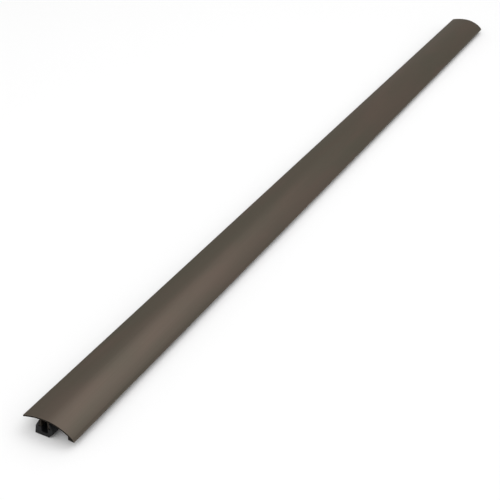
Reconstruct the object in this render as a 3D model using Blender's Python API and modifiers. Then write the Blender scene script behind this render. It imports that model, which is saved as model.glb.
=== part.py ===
"""Door threshold strip: a domed aluminium cover profile with a two-legged rail below it, and black
snap clips that slide along the rail and are fixed to the floor.

Metres. +Y runs along the strip, +X across it towards the thick foot, and +Z up. The origin is
under the middle of the strip, level with the undersides of the clips.
"""

import math

import bpy
import bmesh

# The whole strip.
LENGTH = 0.930
WIDTH = 0.040
HEIGHT = 0.0142

# The cover's dome: two arcs that meet level at the crown. One runs to the thin lip, which lies on
# the higher floor, and one to the nose, a tighter arc that is upright at the strip's edge.
COVER_WALL = 0.00125
CROWN_X = -0.0020
LIP_HEIGHT = 0.0100
NOSE_RADIUS = 0.0035

# The foot: the thick edge that stands on the lower floor.
FOOT_WIDTH = 0.0045
FOOT_TIP_HEIGHT = 0.0041
FOOT_UNDERCUT = 0.0006

# The rail: two legs under the dome, each with a barb that points outwards.
RAIL_X = -0.0030
RAIL_GAP = 0.0050
LEG_WALL = 0.0011
LEG_DEPTH = 0.00575
BARB_REACH = 0.0008
BARB_TAPER = 0.0009
BARB_EDGE = 0.0005

# The snap clips.
CLIP_COUNT = 7
CLIP_LENGTH = 0.040
CLIP_WEB = 0.0030
CLIP_HEEL_REACH = 0.0079
CLIP_TOE_REACH = 0.0031
CLIP_TOE_RISE = 0.0034
JAW_WALL = 0.0016
HEEL_JAW_WALL = 0.00225
JAW_TIP = 0.0005
JAW_CATCH = 0.0027
CHANNEL_FILLET = 0.0012
SLOT_WIDTH = 0.0015
SLOT_SPACING = 0.020
SLOT_FLOOR = 0.0013
SCREW_HOLE_RADIUS = 0.0017
HEAD_SEAT_MARGIN = 0.0001
HEAD_SEAT_DEPTH = 0.0009
HEAD_SEAT_RIM = 0.0002

# The clearance between the clips and the rail that they slide along.
SLIDE_CLEARANCE = 0.0003

CUTTER_MARGIN = 0.001
MERGE_DISTANCE = 0.00001
TURN_STEPS = 24
SHARP_ANGLE = math.radians(30)

BRONZE = (0.105, 0.084, 0.066)
BLACK = (0.012, 0.012, 0.013)


def clear_scene():
    for obj in list(bpy.data.objects):
        bpy.data.objects.remove(obj)


def new_collection(name):
    collection = bpy.data.collections.new(name)
    bpy.context.scene.collection.children.link(collection)
    return collection


def new_material(name, colour, roughness, metallic):
    material = bpy.data.materials.new(name)
    material.use_nodes = True
    shader = material.node_tree.nodes["Principled BSDF"]
    shader.inputs["Base Color"].default_value = (*colour, 1.0)
    shader.inputs["Roughness"].default_value = roughness
    shader.inputs["Metallic"].default_value = metallic
    return material


def arc(centre_x, centre_z, radius, start, end, steps):
    """Points on an arc in the section. Angles run from +X towards +Z."""
    points = []
    for step in range(steps + 1):
        angle = start + (end - start) * step / steps
        points.append((centre_x + radius * math.cos(angle), centre_z + radius * math.sin(angle)))
    return points


def touching_radius(across, drop, end_radius):
    """Radius of the arc that is level at the crown and touches a smaller circle from outside it.

    The circle's centre is across to the side of the crown, and drop below it.
    """
    return (across**2 + drop**2 - end_radius**2) / (2 * (drop - end_radius))


def lip_round_centre():
    return -WIDTH / 2 + COVER_WALL / 2, LIP_HEIGHT + COVER_WALL / 2


def lip_arc_radius():
    x, z = lip_round_centre()
    return touching_radius(CROWN_X - x, HEIGHT - z, COVER_WALL / 2)


def nose_centre():
    return WIDTH / 2 - NOSE_RADIUS, FOOT_TIP_HEIGHT


def foot_arc_radius():
    x, z = nose_centre()
    return touching_radius(x - CROWN_X, HEIGHT - z, NOSE_RADIUS)


def underside_height(x):
    """Height of the dome's underside at x."""
    top_radius = lip_arc_radius() if x < CROWN_X else foot_arc_radius()
    radius = top_radius - COVER_WALL
    return HEIGHT - top_radius + math.sqrt(radius**2 - (x - CROWN_X) ** 2)


def underside_run(start_x, end_x, steps):
    """Points along the dome's underside from start_x to end_x."""
    points = []
    for step in range(steps + 1):
        x = start_x + (end_x - start_x) * step / steps
        points.append((x, underside_height(x)))
    return points


def lip_angle():
    """Angle of the line from the lip arc's centre to the lip's rounded edge."""
    x, z = lip_round_centre()
    return math.atan2(z - HEIGHT + lip_arc_radius(), x - CROWN_X)


def lip_round():
    """The lip's rounded edge, from the underside to the top."""
    x, z = lip_round_centre()
    return arc(x, z, COVER_WALL / 2, lip_angle() + math.pi, lip_angle(), 8)


def dome_top():
    """The upper surface, from the lip over the crown and down the nose to the foot's tip."""
    crown_angle = math.pi / 2
    lip_radius = lip_arc_radius()
    foot_radius = foot_arc_radius()
    nose_x, nose_z = nose_centre()
    nose_angle = math.atan2(nose_z - HEIGHT + foot_radius, nose_x - CROWN_X)
    lip_side = arc(CROWN_X, HEIGHT - lip_radius, lip_radius, lip_angle(), crown_angle, 12)
    foot_side = arc(CROWN_X, HEIGHT - foot_radius, foot_radius, crown_angle, nose_angle, 16)
    nose = arc(nose_x, nose_z, NOSE_RADIUS, nose_angle, 0, 10)
    return lip_side[1:] + foot_side[1:] + nose[1:]


def leg_bottom():
    return HEIGHT - COVER_WALL - LEG_DEPTH


def barb_top():
    return leg_bottom() + BARB_TAPER + BARB_EDGE


def leg(side):
    """One leg's outline from its outer root down round its barb and up to its inner root.

    side is -1 for the leg next to the lip and 1 for the leg next to the foot.
    """
    inner_x = RAIL_X + side * RAIL_GAP / 2
    outer_x = inner_x + side * LEG_WALL
    barb_x = outer_x + side * BARB_REACH
    return [
        (outer_x, underside_height(outer_x)),
        (outer_x, barb_top()),
        (barb_x, barb_top()),
        (barb_x, leg_bottom() + BARB_TAPER),
        (outer_x - side * LEG_WALL / 2, leg_bottom()),
        (inner_x, leg_bottom()),
        (inner_x, underside_height(inner_x)),
    ]


def cover_outline():
    """The extrusion's closed section, clockwise from the lip's underside over the top."""
    foot_inner_x = WIDTH / 2 - FOOT_WIDTH
    foot_corner = (foot_inner_x, FOOT_TIP_HEIGHT + FOOT_UNDERCUT)
    lip_edge = lip_round()
    foot_leg = leg(1)
    lip_leg = leg(-1)
    foot_wing = underside_run(foot_inner_x, foot_leg[0][0], 14)
    between_legs = underside_run(foot_leg[-1][0], lip_leg[-1][0], 6)
    lip_wing = underside_run(lip_leg[0][0], lip_edge[0][0], 12)
    upper = lip_edge + dome_top() + [foot_corner]
    lower = foot_wing[:-1] + foot_leg + between_legs[1:-1] + lip_leg[::-1] + lip_wing[1:-1]
    return upper + lower


def clip_outline():
    """The clip's closed section, with x from the rail's middle line."""
    channel_x = RAIL_GAP / 2
    jaw_x = channel_x + LEG_WALL + SLIDE_CLEARANCE
    pocket_x = channel_x + LEG_WALL + BARB_REACH + SLIDE_CLEARANCE
    toe_outer_x = pocket_x + JAW_WALL
    heel_outer_x = pocket_x + HEEL_JAW_WALL
    ledge_z = leg_bottom() - SLIDE_CLEARANCE
    catch_z = barb_top() + SLIDE_CLEARANCE
    tip_z = catch_z + JAW_CATCH
    fillet_x = channel_x - CHANNEL_FILLET
    fillet_z = CLIP_WEB + CHANNEL_FILLET
    quarter = math.pi / 2
    toe_corner = arc(fillet_x, fillet_z, CHANNEL_FILLET, 0, -quarter, 4)
    heel_corner = arc(-fillet_x, fillet_z, CHANNEL_FILLET, -quarter, -2 * quarter, 4)
    toe_jaw = [
        (CLIP_TOE_REACH, 0),
        (toe_outer_x, CLIP_TOE_RISE),
        (toe_outer_x, ledge_z),
        (jaw_x + JAW_TIP, tip_z),
        (jaw_x, tip_z),
        (jaw_x, catch_z),
        (pocket_x, catch_z),
        (pocket_x, ledge_z),
        (channel_x, ledge_z),
    ]
    heel_jaw = [
        (-channel_x, ledge_z),
        (-pocket_x, ledge_z),
        (-pocket_x, catch_z),
        (-jaw_x, catch_z),
        (-jaw_x, tip_z),
        (-jaw_x - JAW_TIP, tip_z),
        (-heel_outer_x, ledge_z),
        (-CLIP_HEEL_REACH, 0),
    ]
    return toe_jaw + toe_corner + heel_corner + heel_jaw


def extrude_section(name, outline, length, collection, material):
    """A solid with the given section in X and Z, centred on its origin along Y."""
    curve = bpy.data.curves.new(name + "_section", "CURVE")
    curve.dimensions = "2D"
    curve.fill_mode = "BOTH"
    curve.extrude = length / 2
    spline = curve.splines.new("POLY")
    spline.points.add(len(outline) - 1)
    for point, (x, z) in zip(spline.points, outline):
        point.co = (x, z, 0, 1)
    spline.use_cyclic_u = True
    guide = bpy.data.objects.new(name + "_guide", curve)
    collection.objects.link(guide)
    guide.rotation_euler = (math.pi / 2, 0, 0)
    bpy.context.view_layer.update()
    evaluated = guide.evaluated_get(bpy.context.evaluated_depsgraph_get())
    mesh = bpy.data.meshes.new_from_object(evaluated)
    mesh.transform(guide.matrix_world)
    bpy.data.objects.remove(guide)
    finish_mesh(mesh)
    mesh.name = name
    solid = bpy.data.objects.new(name, mesh)
    collection.objects.link(solid)
    mesh.materials.clear()
    mesh.materials.append(material)
    return solid


def finish_mesh(mesh):
    """Joins the caps to the sides, turns the faces outwards and shades round faces smooth."""
    work = bmesh.new()
    work.from_mesh(mesh)
    bmesh.ops.remove_doubles(work, verts=work.verts, dist=MERGE_DISTANCE)
    bmesh.ops.recalc_face_normals(work, faces=work.faces)
    work.to_mesh(mesh)
    work.free()
    mesh.shade_smooth()
    mesh.set_sharp_from_angle(angle=SHARP_ANGLE)


def make_cover(collection, material):
    return extrude_section("cover_profile", cover_outline(), LENGTH, collection, material)


def cutter_object(name, mesh, clip, collection):
    """A hidden cutter that goes where its clip goes."""
    cutter = bpy.data.objects.new(name, mesh)
    collection.objects.link(cutter)
    cutter.parent = clip
    cutter.hide_render = True
    cutter.display_type = "WIRE"
    return cutter


def screw_hole_profile():
    """Half the outline of the clip's screw hole and sunk head seat, to be turned about Z."""
    seat_radius = RAIL_GAP / 2 - HEAD_SEAT_MARGIN
    top = leg_bottom() + CUTTER_MARGIN
    outline = [
        (0, top),
        (seat_radius, top),
        (seat_radius, CLIP_WEB + HEAD_SEAT_RIM),
        (SCREW_HOLE_RADIUS, CLIP_WEB - HEAD_SEAT_DEPTH),
        (SCREW_HOLE_RADIUS, -CUTTER_MARGIN),
        (0, -CUTTER_MARGIN),
    ]
    mesh = bpy.data.meshes.new("screw_hole")
    points = [(radius, 0, z) for radius, z in outline]
    edges = [(index, index + 1) for index in range(len(points) - 1)]
    mesh.from_pydata(points, edges, [])
    return mesh


def turn(obj):
    """Turns the object's profile once about Z."""
    modifier = obj.modifiers.new("turn", "SCREW")
    modifier.steps = TURN_STEPS
    modifier.render_steps = TURN_STEPS
    modifier.use_merge_vertices = True
    modifier.merge_threshold = MERGE_DISTANCE


def jaw_slots_mesh():
    """Cross slots that let the jaws bend outwards, as a cutter."""
    work = bmesh.new()
    width = 4 * (CLIP_HEEL_REACH + CLIP_TOE_REACH)
    low_z = CLIP_WEB + SLOT_FLOOR
    for side in (-1, 1):
        made = bmesh.ops.create_cube(work, size=1)
        bmesh.ops.scale(work, verts=made["verts"], vec=(width, SLOT_WIDTH, HEIGHT))
        place = (0, side * SLOT_SPACING / 2, low_z + HEIGHT / 2)
        bmesh.ops.translate(work, verts=made["verts"], vec=place)
    mesh = bpy.data.meshes.new("jaw_slots")
    work.to_mesh(mesh)
    work.free()
    return mesh


def cut(solid, cutter):
    modifier = solid.modifiers.new(cutter.name, "BOOLEAN")
    modifier.operation = "DIFFERENCE"
    modifier.solver = "EXACT"
    modifier.object = cutter


def make_clips(collection, cutters, material):
    """The snap clips, evenly spaced, with the first and last flush with the cover's ends."""
    hole_profile = screw_hole_profile()
    slots_mesh = jaw_slots_mesh()
    first_y = -LENGTH / 2 + CLIP_LENGTH / 2
    pitch = (LENGTH - CLIP_LENGTH) / (CLIP_COUNT - 1)
    for index in range(CLIP_COUNT):
        name = f"snap_clip_{index + 1}"
        clip = extrude_section(name, clip_outline(), CLIP_LENGTH, collection, material)
        clip.location = (RAIL_X, first_y + index * pitch, 0)
        hole = cutter_object(name + "_screw_hole", hole_profile, clip, cutters)
        turn(hole)
        cut(clip, hole)
        cut(clip, cutter_object(name + "_jaw_slots", slots_mesh, clip, cutters))


def main():
    clear_scene()
    strip = new_collection("threshold_strip")
    cutters = new_collection("cutters")
    cutters.hide_render = True
    bronze = new_material("bronze_anodised", BRONZE, 0.42, 1.0)
    black = new_material("black_plastic", BLACK, 0.5, 0.0)
    make_cover(strip, bronze)
    make_clips(strip, cutters, black)


main()
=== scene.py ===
"""Looks of the door threshold strip: a satin, dark bronze anodised cover over black moulded clips.

Metres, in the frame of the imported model. +Y runs along the strip, +X across it towards the thick
foot, and +Z up. The floor is at the undersides of the clips.
"""

import math

import bmesh
import bpy
from mathutils import Matrix, Vector


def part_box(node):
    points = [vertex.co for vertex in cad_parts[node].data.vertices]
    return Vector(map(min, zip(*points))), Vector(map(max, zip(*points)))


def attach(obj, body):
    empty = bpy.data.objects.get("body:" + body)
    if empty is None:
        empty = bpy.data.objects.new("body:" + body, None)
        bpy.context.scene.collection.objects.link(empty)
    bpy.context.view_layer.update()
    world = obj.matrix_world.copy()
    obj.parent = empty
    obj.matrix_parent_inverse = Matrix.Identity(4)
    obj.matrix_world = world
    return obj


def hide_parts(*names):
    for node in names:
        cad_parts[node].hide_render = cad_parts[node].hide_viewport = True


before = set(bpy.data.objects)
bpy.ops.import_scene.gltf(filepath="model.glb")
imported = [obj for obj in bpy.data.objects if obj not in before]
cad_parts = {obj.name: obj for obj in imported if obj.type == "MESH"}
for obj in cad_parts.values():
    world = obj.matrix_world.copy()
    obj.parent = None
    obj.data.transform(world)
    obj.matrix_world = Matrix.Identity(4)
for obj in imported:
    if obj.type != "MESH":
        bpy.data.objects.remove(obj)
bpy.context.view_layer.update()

# ---- Sizes of the cover's section, as in the solid model -------------------------------------
COVER_LOW, COVER_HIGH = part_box("cover_profile")
LENGTH = COVER_HIGH[1] - COVER_LOW[1]
WIDTH = COVER_HIGH[0] - COVER_LOW[0]
HEIGHT = COVER_HIGH[2]
COVER_WALL = 0.00125
CROWN_X = -0.0020
LIP_HEIGHT = 0.0100
NOSE_RADIUS = 0.0035
FOOT_WIDTH = 0.0045
FOOT_TIP_HEIGHT = COVER_LOW[2]
FOOT_UNDERCUT = 0.0006
RAIL_X = -0.0030
RAIL_GAP = 0.0050
LEG_WALL = 0.0011
LEG_DEPTH = 0.00575
BARB_REACH = 0.0008
BARB_TAPER = 0.0009
BARB_EDGE = 0.0005

# ---- Sizes of the clips -----------------------------------------------------------------------
CLIP_NODES = sorted(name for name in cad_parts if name.startswith("snap_clip_"))
CLIP_WEB = 0.0030
CLIP_HEEL_REACH = 0.0079
CLIP_TOE_REACH = 0.0031
CLIP_TOE_RISE = 0.0034
JAW_WALL = 0.0016
HEEL_JAW_WALL = 0.00225
JAW_TIP = 0.0005
JAW_CATCH = 0.0027
CHANNEL_FILLET = 0.0012
SLOT_WIDTH = 0.0015
SLOT_SPACING = 0.020
SLOT_FLOOR = 0.0013
SCREW_HOLE_RADIUS = 0.0017
HEAD_SEAT_MARGIN = 0.0001
HEAD_SEAT_DEPTH = 0.0009
HEAD_SEAT_RIM = 0.0002
SLIDE_CLEARANCE = 0.0003

# ---- Fine shape that only the visible model has -----------------------------------------------
FOOT_HEEL_FILLET = 0.0007
LEG_ROOT_FILLET = 0.0004
CUT_END_EDGE = 0.00010
CLIP_EDGE = 0.00018
EJECTOR_RADIUS = 0.0014
EJECTOR_DEPTH = 0.0004
EJECTOR_SPACING = 0.030
EJECTOR_X = -0.0055
MERGE_DISTANCE = 0.000002
SHARP_ANGLE = math.radians(35)
CUTTER_MARGIN = 0.001
CUTTER_OVERREACH = 4
END_FACE_SLOPE = 0.99
EDGE_SEGMENTS = 2
# A rounded corner's curved side takes its direction from a point this many radii away.
TANGENT_REACH = 4

# ---- How finely the curves are divided --------------------------------------------------------
FILLET_STEPS = 6
CHANNEL_STEPS = 10
LIP_STEPS = 16
LIP_SIDE_STEPS = 40
FOOT_SIDE_STEPS = 48
NOSE_STEPS = 24
LIP_WING_STEPS = 30
RAIL_ROOF_STEPS = 8
FOOT_WING_STEPS = 36
TURN_STEPS = 48

# ---- Colours ----------------------------------------------------------------------------------
BRONZE = (0.100, 0.080, 0.063)
BRONZE_OLIVE = (0.089, 0.080, 0.061)
BRONZE_WARM = (0.108, 0.082, 0.065)
BRONZE_WORN = (0.190, 0.168, 0.145)
BRONZE_AT_LOW_ANGLE = (0.54, 0.51, 0.475)
BLACK = (0.006, 0.006, 0.0065)
BLACK_SCUFFED = (0.017, 0.017, 0.018)
FLOOR = (0.92, 0.92, 0.92)
SAW_CUT_DARK = 0.10
SAW_CUT_PALE = 0.26
BLACK_MOTTLE = 1.5
FLOOR_MOTTLE = 0.99

# ---- Surface texture: features per metre along X, Y and Z -------------------------------------
CLOUD_SCALE = (28.0, 7.0, 28.0)
WARMTH_SCALE = (60.0, 11.0, 60.0)
DRAW_LINE_SCALE = (2600.0, 7.0, 2600.0)
FINE_LINE_SCALE = (9000.0, 30.0, 9000.0)
GRAIN_SCALE = (5200.0, 5200.0, 5200.0)
WEAR_SCALE = (500.0, 120.0, 500.0)
SAW_MARK_SCALE = (350.0, 350.0, 7000.0)
SAW_BLOTCH_SCALE = (900.0, 900.0, 900.0)
PLASTIC_TEXTURE_SCALE = (7000.0, 7000.0, 7000.0)
PLASTIC_FLOW_SCALE = (240.0, 60.0, 240.0)
SCUFF_SCALE = (1400.0, 300.0, 1400.0)
FLOOR_SCALE = (3.0, 3.0, 3.0)
LOW_DETAIL = 1.0
MEDIUM_DETAIL = 2.0
HIGH_DETAIL = 3.0

# ---- The stretch of a noise's values over which a feature comes in ------------------------------
WHOLE_NOISE = (0.3, 0.7)
MIDDLE_NOISE = (0.35, 0.65)
WARM_PATCHES = (0.5, 0.75)
WORN_PATCHES = (0.45, 0.7)
SCUFFED_PATCHES = (0.60, 0.78)

# ---- How much of each feature shows, and how deep it is in metres -------------------------------
DRAW_LINE_SHARES = (0.0, 0.10)
FLOW_SHARES = (0.0, 0.5)
SCUFF_SHARES = (0.0, 0.6)
EDGE_WEAR_SHARE = 0.35
LIP_WEAR_WIDTH = 0.0009
CUT_WEAR_WIDTH = 0.0005
GRAIN_DEPTH = 0.0000030
FINE_LINE_DEPTH = 0.0000020
SAW_MARK_DEPTH = 0.0000080
PLASTIC_TEXTURE_DEPTH = 0.0000060
FLOOR_DEPTH = 0.00001

# ---- Gloss --------------------------------------------------------------------------------------
BRONZE_ROUGHNESS = (0.37, 0.45)
DRAW_LINE_ROUGHNESS = (-0.02, 0.03)
SAW_CUT_ROUGHNESS = (0.55, 0.68)
PLASTIC_ROUGHNESS = (0.40, 0.54)
FLOOR_ROUGHNESS = (0.85, 0.95)
BRONZE_COAT = 0.12
BRONZE_COAT_ROUGHNESS = 0.30
BRONZE_COAT_IOR = 1.5
PLASTIC_SPECULAR = 0.15
FLOOR_SPECULAR = 0.1

# ---- Studio -------------------------------------------------------------------------------------
FLOOR_HALF_WIDTH = 6.0
FLOOR_DROP = 0.00005
WORLD_STRENGTH = 0.86
SOFTBOX_PLACE = (0.18, 0.42, 1.25)
SOFTBOX_TARGET = (0.0, -0.40, 0.0)
SOFTBOX_SIZE = (1.5, 0.9)
SOFTBOX_POWER = 4
FILL_PLACE = (0.1, -2.2, 1.8)
FILL_TARGET = (0.0, 0.0, 0.0)
FILL_SIZE = (2.4, 1.4)
FILL_POWER = 14

# ---- Camera ---------------------------------------------------------------------------------------
CAMERA_PLACE = Vector((0.3387, -0.8855, 0.4688))
CAMERA_AZIMUTH = math.radians(25.41)
CAMERA_PITCH = math.radians(31.21)
CAMERA_ROLL = math.radians(2.735)
CAMERA_LENS = 76.23
SENSOR_WIDTH = 36.0


def arc(centre_x, centre_z, radius, start, end, steps):
    """Points on an arc in the section. Angles run from +X towards +Z."""
    points = []
    for step in range(steps + 1):
        angle = start + (end - start) * step / steps
        points.append((centre_x + radius * math.cos(angle), centre_z + radius * math.sin(angle)))
    return points


def rounded(before, corner, after, radius):
    """A corner of the section as an arc that touches both of its sides."""
    corner_point = Vector(corner)
    to_before = (Vector(before) - corner_point).normalized()
    to_after = (Vector(after) - corner_point).normalized()
    half_angle = to_before.angle(to_after) / 2
    reach = radius / math.tan(half_angle)
    start = corner_point + to_before * reach
    end = corner_point + to_after * reach
    centre = corner_point + (to_before + to_after).normalized() * (radius / math.sin(half_angle))
    first = (start - centre).angle_signed(end - centre)
    points = []
    for step in range(FILLET_STEPS + 1):
        turn = Matrix.Rotation(-first * step / FILLET_STEPS, 2)
        points.append(tuple(centre + turn @ (start - centre)))
    return points


def touching_radius(across, drop, end_radius):
    """Radius of the arc that is level at the crown and touches a smaller circle from outside it."""
    return (across**2 + drop**2 - end_radius**2) / (2 * (drop - end_radius))


LIP_ROUND_CENTRE = (-WIDTH / 2 + COVER_WALL / 2, LIP_HEIGHT + COVER_WALL / 2)
LIP_ARC = touching_radius(CROWN_X - LIP_ROUND_CENTRE[0], HEIGHT - LIP_ROUND_CENTRE[1], COVER_WALL / 2)
NOSE_CENTRE = (WIDTH / 2 - NOSE_RADIUS, FOOT_TIP_HEIGHT)
FOOT_ARC = touching_radius(NOSE_CENTRE[0] - CROWN_X, HEIGHT - NOSE_CENTRE[1], NOSE_RADIUS)
LEG_BOTTOM = HEIGHT - COVER_WALL - LEG_DEPTH
BARB_TOP = LEG_BOTTOM + BARB_TAPER + BARB_EDGE


def underside_height(x):
    """Height of the dome's underside at x."""
    top_radius = LIP_ARC if x < CROWN_X else FOOT_ARC
    radius = top_radius - COVER_WALL
    return HEIGHT - top_radius + math.sqrt(radius**2 - (x - CROWN_X) ** 2)


def underside_run(start_x, end_x, steps):
    """Points along the dome's underside from start_x to end_x."""
    places = [start_x + (end_x - start_x) * step / steps for step in range(steps + 1)]
    return [(x, underside_height(x)) for x in places]


def dome_top():
    """The upper surface, from the lip's underside over the crown and down the nose to the foot's tip."""
    lip_x, lip_z = LIP_ROUND_CENTRE
    nose_x, nose_z = NOSE_CENTRE
    lip_angle = math.atan2(lip_z - HEIGHT + LIP_ARC, lip_x - CROWN_X)
    nose_angle = math.atan2(nose_z - HEIGHT + FOOT_ARC, nose_x - CROWN_X)
    crown_angle = math.pi / 2
    lip = arc(lip_x, lip_z, COVER_WALL / 2, lip_angle + math.pi, lip_angle, LIP_STEPS)
    lip_side = arc(CROWN_X, HEIGHT - LIP_ARC, LIP_ARC, lip_angle, crown_angle, LIP_SIDE_STEPS)
    foot_side = arc(CROWN_X, HEIGHT - FOOT_ARC, FOOT_ARC, crown_angle, nose_angle, FOOT_SIDE_STEPS)
    nose = arc(nose_x, nose_z, NOSE_RADIUS, nose_angle, 0, NOSE_STEPS)
    return lip + lip_side[1:] + foot_side[1:] + nose[1:]


def leg(side):
    """One leg from its outer root round its barb to its inner root. side is 1 next to the foot."""
    inner_x = RAIL_X + side * RAIL_GAP / 2
    outer_x = inner_x + side * LEG_WALL
    barb_x = outer_x + side * BARB_REACH
    outer_root = (outer_x, underside_height(outer_x))
    inner_root = (inner_x, underside_height(inner_x))
    beside_x = outer_x + side * LEG_ROOT_FILLET * TANGENT_REACH
    between_x = inner_x - side * LEG_ROOT_FILLET * TANGENT_REACH
    beside = (beside_x, underside_height(beside_x))
    between = (between_x, underside_height(between_x))
    barb = [
        (outer_x, BARB_TOP),
        (barb_x, BARB_TOP),
        (barb_x, LEG_BOTTOM + BARB_TAPER),
        (outer_x - side * LEG_WALL / 2, LEG_BOTTOM),
        (inner_x, LEG_BOTTOM),
    ]
    outer = rounded(beside, outer_root, barb[0], LEG_ROOT_FILLET)
    inner = rounded(barb[-1], inner_root, between, LEG_ROOT_FILLET)
    return outer + barb + inner


def cover_outline():
    """The extrusion's closed section, clockwise from the lip's underside over the top."""
    upper = dome_top()
    heel_x = WIDTH / 2 - FOOT_WIDTH
    heel = (heel_x, FOOT_TIP_HEIGHT + FOOT_UNDERCUT)
    hollow_corner = (heel_x, underside_height(heel_x))
    dome_x = heel_x - FOOT_HEEL_FILLET * TANGENT_REACH
    before_dome = (dome_x, underside_height(dome_x))
    hollow = rounded(heel, hollow_corner, before_dome, FOOT_HEEL_FILLET)
    foot_leg = leg(1)
    lip_leg = leg(-1)[::-1]
    foot_wing = underside_run(hollow[-1][0], foot_leg[0][0], FOOT_WING_STEPS)
    between = underside_run(foot_leg[-1][0], lip_leg[0][0], RAIL_ROOF_STEPS)
    lip_wing = underside_run(lip_leg[-1][0], upper[0][0], LIP_WING_STEPS)
    lower = [heel] + hollow + foot_wing[1:-1] + foot_leg + between[1:-1] + lip_leg + lip_wing[1:-1]
    return upper + lower


def clip_outline():
    """The clip's closed section, with x from the rail's middle line."""
    channel_x = RAIL_GAP / 2
    jaw_x = channel_x + LEG_WALL + SLIDE_CLEARANCE
    pocket_x = channel_x + LEG_WALL + BARB_REACH + SLIDE_CLEARANCE
    toe_outer_x = pocket_x + JAW_WALL
    heel_outer_x = pocket_x + HEEL_JAW_WALL
    ledge_z = LEG_BOTTOM - SLIDE_CLEARANCE
    catch_z = BARB_TOP + SLIDE_CLEARANCE
    tip_z = catch_z + JAW_CATCH
    fillet_x = channel_x - CHANNEL_FILLET
    fillet_z = CLIP_WEB + CHANNEL_FILLET
    quarter = math.pi / 2
    toe_corner = arc(fillet_x, fillet_z, CHANNEL_FILLET, 0, -quarter, CHANNEL_STEPS)
    heel_corner = arc(-fillet_x, fillet_z, CHANNEL_FILLET, -quarter, -2 * quarter, CHANNEL_STEPS)
    toe_jaw = [
        (CLIP_TOE_REACH, 0),
        (toe_outer_x, CLIP_TOE_RISE),
        (toe_outer_x, ledge_z),
        (jaw_x + JAW_TIP, tip_z),
        (jaw_x, tip_z),
        (jaw_x, catch_z),
        (pocket_x, catch_z),
        (pocket_x, ledge_z),
        (channel_x, ledge_z),
    ]
    heel_jaw = [
        (-channel_x, ledge_z),
        (-pocket_x, ledge_z),
        (-pocket_x, catch_z),
        (-jaw_x, catch_z),
        (-jaw_x, tip_z),
        (-jaw_x - JAW_TIP, tip_z),
        (-heel_outer_x, ledge_z),
        (-CLIP_HEEL_REACH, 0),
    ]
    return toe_jaw + toe_corner + heel_corner + heel_jaw


# ---- Mesh work --------------------------------------------------------------------------------
def link(name, mesh):
    obj = bpy.data.objects.new(name, mesh)
    bpy.context.scene.collection.objects.link(obj)
    return obj


def extruded_mesh(name, outline, length):
    """A closed mesh with the given section in X and Z, centred on its origin along Y."""
    work = bmesh.new()
    near_end = [work.verts.new((x, -length / 2, z)) for x, z in outline]
    section = work.faces.new(near_end)
    made = bmesh.ops.extrude_face_region(work, geom=[section])
    far_end = [item for item in made["geom"] if isinstance(item, bmesh.types.BMVert)]
    bmesh.ops.translate(work, verts=far_end, vec=(0, length, 0))
    bmesh.ops.recalc_face_normals(work, faces=work.faces)
    mesh = bpy.data.meshes.new(name)
    work.to_mesh(mesh)
    work.free()
    return mesh


def bevel_edges(obj, width):
    modifier = obj.modifiers.new("edges", "BEVEL")
    modifier.width = width
    modifier.segments = EDGE_SEGMENTS
    modifier.limit_method = "ANGLE"
    modifier.angle_limit = SHARP_ANGLE
    modifier.use_clamp_overlap = False


def baked_mesh(obj, name):
    """The object's mesh with its modifiers applied."""
    bpy.context.view_layer.update()
    evaluated = obj.evaluated_get(bpy.context.evaluated_depsgraph_get())
    mesh = bpy.data.meshes.new_from_object(evaluated)
    mesh.name = name
    return mesh


def shaded(mesh):
    """The mesh shaded smooth, with its flat faces kept flat right up to their softened edges."""
    mesh.shade_smooth()
    mesh.set_sharp_from_angle(angle=SHARP_ANGLE)
    carrier = link(mesh.name + "_carrier", mesh)
    modifier = carrier.modifiers.new("normals", "WEIGHTED_NORMAL")
    modifier.keep_sharp = True
    finished = baked_mesh(carrier, mesh.name)
    bpy.data.objects.remove(carrier)
    return finished


def cut(solid, cutter):
    modifier = solid.modifiers.new(cutter.name, "BOOLEAN")
    modifier.operation = "DIFFERENCE"
    modifier.solver = "EXACT"
    modifier.object = cutter


def turned_cutter(name, outline, x, y):
    """A hidden solid, turned about an upright axis at x and y from a half outline of radii."""
    mesh = bpy.data.meshes.new(name)
    edges = [(index, index + 1) for index in range(len(outline) - 1)]
    mesh.from_pydata([(radius, 0, z) for radius, z in outline], edges, [])
    guide = link(name + "_guide", mesh)
    modifier = guide.modifiers.new("turn", "SCREW")
    modifier.steps = TURN_STEPS
    modifier.render_steps = TURN_STEPS
    modifier.use_merge_vertices = True
    modifier.merge_threshold = MERGE_DISTANCE
    cutter = link(name, baked_mesh(guide, name))
    bpy.data.objects.remove(guide)
    cutter.location = (x, y, 0)
    return cutter


def screw_hole_cutter():
    seat_radius = RAIL_GAP / 2 - HEAD_SEAT_MARGIN
    top = LEG_BOTTOM + CUTTER_MARGIN
    outline = [
        (0, top),
        (seat_radius, top),
        (seat_radius, CLIP_WEB + HEAD_SEAT_RIM),
        (SCREW_HOLE_RADIUS, CLIP_WEB - HEAD_SEAT_DEPTH),
        (SCREW_HOLE_RADIUS, -CUTTER_MARGIN),
        (0, -CUTTER_MARGIN),
    ]
    return turned_cutter("screw_hole_cutter", outline, 0, 0)


def ejector_cutter(y):
    """The shallow round mark that a mould's ejector pin leaves on the clip's underside."""
    outline = [
        (0, EJECTOR_DEPTH),
        (EJECTOR_RADIUS, EJECTOR_DEPTH),
        (EJECTOR_RADIUS, -CUTTER_MARGIN),
        (0, -CUTTER_MARGIN),
    ]
    return turned_cutter(f"ejector_cutter_{y:+.3f}", outline, EJECTOR_X, y)


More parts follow.
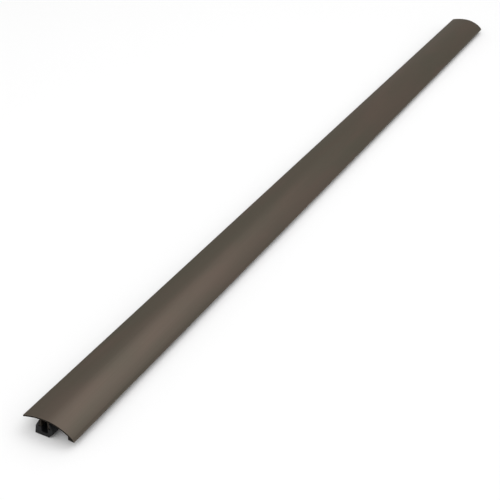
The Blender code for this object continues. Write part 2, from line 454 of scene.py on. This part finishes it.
def slot_cutter(y):
    """One of the cross slots that let the jaws bend outwards."""
    work = bmesh.new()
    made = bmesh.ops.create_cube(work, size=1)
    width = CUTTER_OVERREACH * (CLIP_HEEL_REACH + CLIP_TOE_REACH)
    bmesh.ops.scale(work, verts=made["verts"], vec=(width, SLOT_WIDTH, HEIGHT))
    low_z = CLIP_WEB + SLOT_FLOOR
    bmesh.ops.translate(work, verts=made["verts"], vec=(0, y, low_z + HEIGHT / 2))
    mesh = bpy.data.meshes.new("slot_cutter")
    work.to_mesh(mesh)
    work.free()
    return link(f"slot_cutter_{y:+.3f}", mesh)


def clip_mesh(length):
    """One clip about its own middle: cut, then with every edge softened."""
    blank = link("clip_blank", extruded_mesh("clip_blank", clip_outline(), length))
    cutters = [screw_hole_cutter()]
    cutters += [slot_cutter(side * SLOT_SPACING / 2) for side in (-1, 1)]
    cutters += [ejector_cutter(side * EJECTOR_SPACING / 2) for side in (-1, 1)]
    for cutter in cutters:
        cut(blank, cutter)
    bevel_edges(blank, CLIP_EDGE)
    mesh = baked_mesh(blank, "snap_clip")
    for helper in [blank] + cutters:
        bpy.data.objects.remove(helper)
    return mesh


# ---- Materials --------------------------------------------------------------------------------
def scaled(colour, factor):
    return tuple(channel * factor for channel in colour)


class Shader:
    """A material's node tree, with short ways to add and join nodes."""

    def __init__(self, name):
        self.material = bpy.data.materials.new(name)
        self.material.use_nodes = True
        self.tree = self.material.node_tree
        self.surface = self.tree.nodes["Principled BSDF"]
        coordinates = self.tree.nodes.new("ShaderNodeTexCoord")
        self.place = coordinates.outputs["Object"]

    def join(self, output, socket):
        self.tree.links.new(output, socket)

    def stretched(self, scale):
        """Coordinates multiplied by scale along X, Y and Z, in cycles per metre."""
        node = self.tree.nodes.new("ShaderNodeMapping")
        node.inputs["Scale"].default_value = scale
        self.join(self.place, node.inputs["Vector"])
        return node.outputs["Vector"]

    def noise(self, scale, detail=MEDIUM_DETAIL):
        """Noise whose features are one over scale metres along each axis."""
        node = self.tree.nodes.new("ShaderNodeTexNoise")
        node.inputs["Scale"].default_value = 1.0
        node.inputs["Detail"].default_value = detail
        self.join(self.stretched(scale), node.inputs["Vector"])
        return node.outputs["Fac"]

    def axis(self, letter):
        node = self.tree.nodes.new("ShaderNodeSeparateXYZ")
        self.join(self.place, node.inputs["Vector"])
        return node.outputs[letter]

    def remap(self, value, low, high, to_low=0.0, to_high=1.0):
        node = self.tree.nodes.new("ShaderNodeMapRange")
        node.inputs["From Min"].default_value = low
        node.inputs["From Max"].default_value = high
        node.inputs["To Min"].default_value = to_low
        node.inputs["To Max"].default_value = to_high
        self.join(value, node.inputs["Value"])
        return node.outputs["Result"]

    def math(self, operation, first, second=None):
        node = self.tree.nodes.new("ShaderNodeMath")
        node.operation = operation
        for socket, value in zip(node.inputs, (first, second)):
            if isinstance(value, (int, float)):
                socket.default_value = value
            elif value is not None:
                self.join(value, socket)
        return node.outputs["Value"]

    def blend(self, share, first, second):
        """Mixes two colours, each a tuple or another node's output."""
        node = self.tree.nodes.new("ShaderNodeMix")
        node.data_type = "RGBA"
        colour_sockets = [socket for socket in node.inputs if socket.type == "RGBA"]
        for socket, colour in zip(colour_sockets, (first, second)):
            if isinstance(colour, tuple):
                socket.default_value = (*colour, 1.0)
            else:
                self.join(colour, socket)
        self.join(share, node.inputs["Factor"])
        return next(socket for socket in node.outputs if socket.type == "RGBA")

    def bump(self, height, depth, under=None):
        """A bump of the given depth in metres, over another bump if one is given."""
        node = self.tree.nodes.new("ShaderNodeBump")
        node.inputs["Strength"].default_value = 1.0
        node.inputs["Distance"].default_value = depth
        self.join(height, node.inputs["Height"])
        if under is not None:
            self.join(under, node.inputs["Normal"])
        return node.outputs["Normal"]

    def finish(self, colour, roughness, normal):
        self.join(colour, self.surface.inputs["Base Color"])
        self.join(roughness, self.surface.inputs["Roughness"])
        self.join(normal, self.surface.inputs["Normal"])
        return self.material


def bronze_material():
    """Dark bronze anodising over drawn metal: faint lines along the strip, and edges rubbed paler."""
    shader = Shader("bronze_anodised_satin")
    shader.surface.inputs["Metallic"].default_value = 1.0
    # The dyed oxide layer stays dark where bare metal would turn pale at a low angle.
    shader.surface.inputs["Specular Tint"].default_value = (*BRONZE_AT_LOW_ANGLE, 1.0)
    shader.surface.inputs["Coat Weight"].default_value = BRONZE_COAT
    shader.surface.inputs["Coat Roughness"].default_value = BRONZE_COAT_ROUGHNESS
    shader.surface.inputs["Coat IOR"].default_value = BRONZE_COAT_IOR
    cloud = shader.noise(CLOUD_SCALE, HIGH_DETAIL)
    warmth = shader.noise(WARMTH_SCALE)
    draw_lines = shader.noise(DRAW_LINE_SCALE)
    fine_lines = shader.noise(FINE_LINE_SCALE, LOW_DETAIL)
    grain = shader.noise(GRAIN_SCALE)

    tinted = shader.blend(shader.remap(cloud, *MIDDLE_NOISE), BRONZE_OLIVE, BRONZE)
    tinted = shader.blend(shader.remap(warmth, *WARM_PATCHES), tinted, BRONZE_WARM)
    line_share = shader.remap(draw_lines, *WHOLE_NOISE, *DRAW_LINE_SHARES)
    lined = shader.blend(line_share, tinted, BRONZE_WORN)

    across = shader.axis("X")
    along = shader.math("ABSOLUTE", shader.axis("Y"))
    lip_edge = shader.remap(across, -WIDTH / 2 + LIP_WEAR_WIDTH, -WIDTH / 2)
    cut_edge = shader.remap(along, LENGTH / 2 - CUT_WEAR_WIDTH, LENGTH / 2)
    edges = shader.math("MAXIMUM", lip_edge, cut_edge)
    patches = shader.remap(shader.noise(WEAR_SCALE, HIGH_DETAIL), *WORN_PATCHES)
    wear = shader.math("MULTIPLY", shader.math("MULTIPLY", edges, patches), EDGE_WEAR_SHARE)
    colour = shader.blend(wear, lined, BRONZE_WORN)

    rough = shader.remap(grain, *WHOLE_NOISE, *BRONZE_ROUGHNESS)
    streaks = shader.remap(draw_lines, *WHOLE_NOISE, *DRAW_LINE_ROUGHNESS)
    roughness = shader.math("ADD", rough, streaks)
    normal = shader.bump(grain, GRAIN_DEPTH)
    normal = shader.bump(fine_lines, FINE_LINE_DEPTH, normal)
    return shader.finish(colour, roughness, normal)


def saw_cut_material():
    """The strip's cut ends: much darker than the cover's faces, with the fine parallel marks of a saw.
    """
    shader = Shader("bronze_saw_cut")
    shader.surface.inputs["Metallic"].default_value = 1.0
    marks = shader.noise(SAW_MARK_SCALE)
    blotches = shader.noise(SAW_BLOTCH_SCALE)
    mark_share = shader.remap(marks, *MIDDLE_NOISE)
    colour = shader.blend(mark_share, scaled(BRONZE, SAW_CUT_DARK), scaled(BRONZE, SAW_CUT_PALE))
    roughness = shader.remap(blotches, *WHOLE_NOISE, *SAW_CUT_ROUGHNESS)
    normal = shader.bump(marks, SAW_MARK_DEPTH)
    return shader.finish(colour, roughness, normal)


def plastic_material():
    """Black moulded plastic with a fine spark-eroded texture and faintly scuffed edges."""
    shader = Shader("black_plastic_moulded")
    shader.surface.inputs["Specular IOR Level"].default_value = PLASTIC_SPECULAR
    texture = shader.noise(PLASTIC_TEXTURE_SCALE, HIGH_DETAIL)
    flow = shader.noise(PLASTIC_FLOW_SCALE)
    scuffs = shader.noise(SCUFF_SCALE, HIGH_DETAIL)
    flow_share = shader.remap(flow, *WHOLE_NOISE, *FLOW_SHARES)
    mottled = shader.blend(flow_share, BLACK, scaled(BLACK, BLACK_MOTTLE))
    scuff_share = shader.remap(scuffs, *SCUFFED_PATCHES, *SCUFF_SHARES)
    colour = shader.blend(scuff_share, mottled, BLACK_SCUFFED)
    roughness = shader.remap(texture, *WHOLE_NOISE, *PLASTIC_ROUGHNESS)
    normal = shader.bump(texture, PLASTIC_TEXTURE_DEPTH)
    return shader.finish(colour, roughness, normal)


def floor_material():
    shader = Shader("studio_floor")
    shader.surface.inputs["Specular IOR Level"].default_value = FLOOR_SPECULAR
    soft = shader.noise(FLOOR_SCALE)
    colour = shader.blend(soft, FLOOR, scaled(FLOOR, FLOOR_MOTTLE))
    roughness = shader.remap(soft, *WHOLE_NOISE, *FLOOR_ROUGHNESS)
    return shader.finish(colour, roughness, shader.bump(soft, FLOOR_DEPTH))


# ---- The pieces -------------------------------------------------------------------------------
def make_cover(bronze, saw_cut):
    blank = link("cover_blank", extruded_mesh("cover_blank", cover_outline(), LENGTH))
    bevel_edges(blank, CUT_END_EDGE)
    mesh = baked_mesh(blank, "bronze_cover")
    bpy.data.objects.remove(blank)
    mesh.materials.clear()
    mesh.materials.append(bronze)
    mesh.materials.append(saw_cut)
    for face in mesh.polygons:
        if abs(face.normal.y) > END_FACE_SLOPE:
            face.material_index = 1
    cover = link("bronze_cover", shaded(mesh))
    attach(cover, "cover")
    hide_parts("cover_profile")


def make_clips(plastic):
    low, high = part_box(CLIP_NODES[0])
    shared = clip_mesh(high[1] - low[1])
    shared.materials.clear()
    shared.materials.append(plastic)
    shared = shaded(shared)
    for node in CLIP_NODES:
        low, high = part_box(node)
        number = node.rsplit("_", 1)[1]
        clip = link(f"moulded_clip_{number}", shared)
        clip.location = (RAIL_X, (low[1] + high[1]) / 2, low[2])
        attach(clip, f"clip_{number}")
        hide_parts(node)


# ---- The studio -------------------------------------------------------------------------------
def make_floor():
    work = bmesh.new()
    bmesh.ops.create_grid(work, x_segments=1, y_segments=1, size=FLOOR_HALF_WIDTH)
    mesh = bpy.data.meshes.new("studio_floor")
    work.to_mesh(mesh)
    work.free()
    mesh.materials.append(floor_material())
    floor = link("studio_floor", mesh)
    floor.location.z = -FLOOR_DROP


def make_light(name, place, target, size, power):
    data = bpy.data.lights.new(name, "AREA")
    data.shape = "RECTANGLE"
    data.size, data.size_y = size
    data.energy = power
    light = bpy.data.objects.new(name, data)
    bpy.context.scene.collection.objects.link(light)
    light.location = place
    light.rotation_mode = "QUATERNION"
    light.rotation_quaternion = (Vector(target) - Vector(place)).to_track_quat("-Z", "Y")


def make_world():
    world = bpy.data.worlds.new("studio")
    world.use_nodes = True
    background = world.node_tree.nodes["Background"]
    background.inputs["Color"].default_value = (1.0, 1.0, 1.0, 1.0)
    background.inputs["Strength"].default_value = WORLD_STRENGTH
    bpy.context.scene.world = world


def make_lights():
    """A soft box over the strip's middle, which the near end mirrors, and a wide fill at the front."""
    make_light("softbox", SOFTBOX_PLACE, SOFTBOX_TARGET, SOFTBOX_SIZE, SOFTBOX_POWER)
    make_light("front_fill", FILL_PLACE, FILL_TARGET, FILL_SIZE, FILL_POWER)


def make_camera():
    data = bpy.data.cameras.new("camera")
    data.sensor_width = SENSOR_WIDTH
    data.lens = CAMERA_LENS
    camera = bpy.data.objects.new("camera", data)
    bpy.context.scene.collection.objects.link(camera)
    look = Vector((
        -math.sin(CAMERA_AZIMUTH) * math.cos(CAMERA_PITCH),
        math.cos(CAMERA_AZIMUTH) * math.cos(CAMERA_PITCH),
        -math.sin(CAMERA_PITCH),
    ))
    level = Vector((math.cos(CAMERA_AZIMUTH), math.sin(CAMERA_AZIMUTH), 0))
    upright = level.cross(look)
    right = level * math.cos(CAMERA_ROLL) + upright * math.sin(CAMERA_ROLL)
    up = upright * math.cos(CAMERA_ROLL) - level * math.sin(CAMERA_ROLL)
    turn = Matrix((right, up, -look)).transposed().to_4x4()
    camera.matrix_world = Matrix.Translation(CAMERA_PLACE) @ turn
    bpy.context.scene.camera = camera


bpy.context.scene.view_settings.view_transform = "Standard"
make_camera()
make_world()
make_lights()
make_floor()
make_cover(bronze_material(), saw_cut_material())
make_clips(plastic_material())
